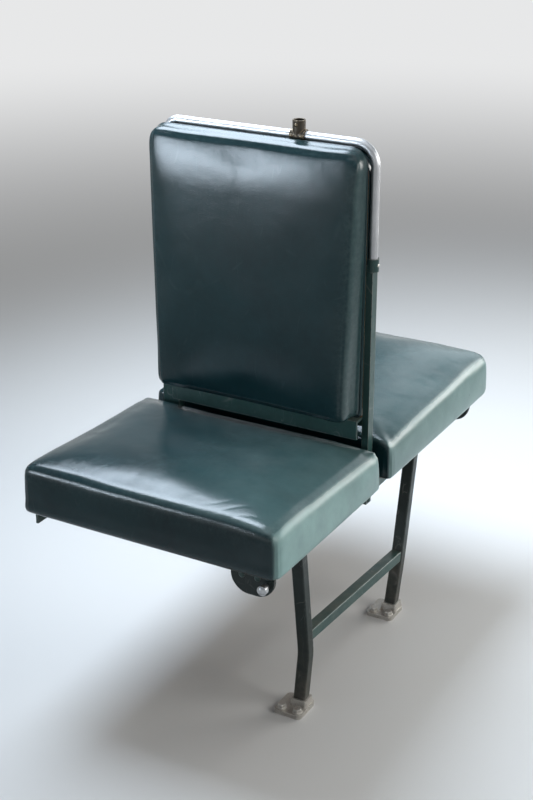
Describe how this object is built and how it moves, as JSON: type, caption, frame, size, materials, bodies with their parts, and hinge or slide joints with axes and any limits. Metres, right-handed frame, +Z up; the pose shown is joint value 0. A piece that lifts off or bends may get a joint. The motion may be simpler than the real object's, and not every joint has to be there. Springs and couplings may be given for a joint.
{
  "type": "tram seat",
  "caption": "Back-to-back tram passenger seat: padded cushions and back on a steel frame, bowed legs at the aisle side, grab rail round the back.",
  "frame": {"origin": "centre of the four floor bolts of the two feet, on the floor", "axes": "+X across the car from the wall to the aisle, +Y along the car from the front cushion to the rear one, +Z up"},
  "size_m": [0.483, 0.85, 0.9675],
  "materials": {
    "leathercloth": "semi-gloss",
    "frame_paint": "semi-gloss",
    "leg_paint": "semi-gloss",
    "bare_steel": "worn",
    "bright_metal": "polished",
    "dark_bronze": "satin",
    "board_wood": "varnished"
  },
  "bodies": {
    "root": {"aisle_rail": "frame_paint", "wall_rail": "frame_paint", "stretcher": "frame_paint", "end_rail_front": "frame_paint", "end_rail_rear": "frame_paint", "middle_rail_front": "frame_paint", "middle_rail_rear": "frame_paint", "aisle_upright": "frame_paint", "wall_upright": "frame_paint", "back_rail": "frame_paint", "leg_front": "leg_paint", "leg_rear": "leg_paint", "catch_plate_front": "leg_paint", "catch_plate_rear": "leg_paint", "foot_front": "bare_steel", "foot_rear": "bare_steel", "catch_knob_front": "bright_metal", "catch_knob_rear": "bright_metal", "grab_rail": "bright_metal", "pole_socket": "dark_bronze", "cushion_front": "leathercloth", "cushion_rear": "leathercloth", "back_pad_front": "leathercloth", "back_pad_rear": "leathercloth", "cushion_board_front": "board_wood", "cushion_board_rear": "board_wood", "back_board": "board_wood"}
  },
  "joints": []
}
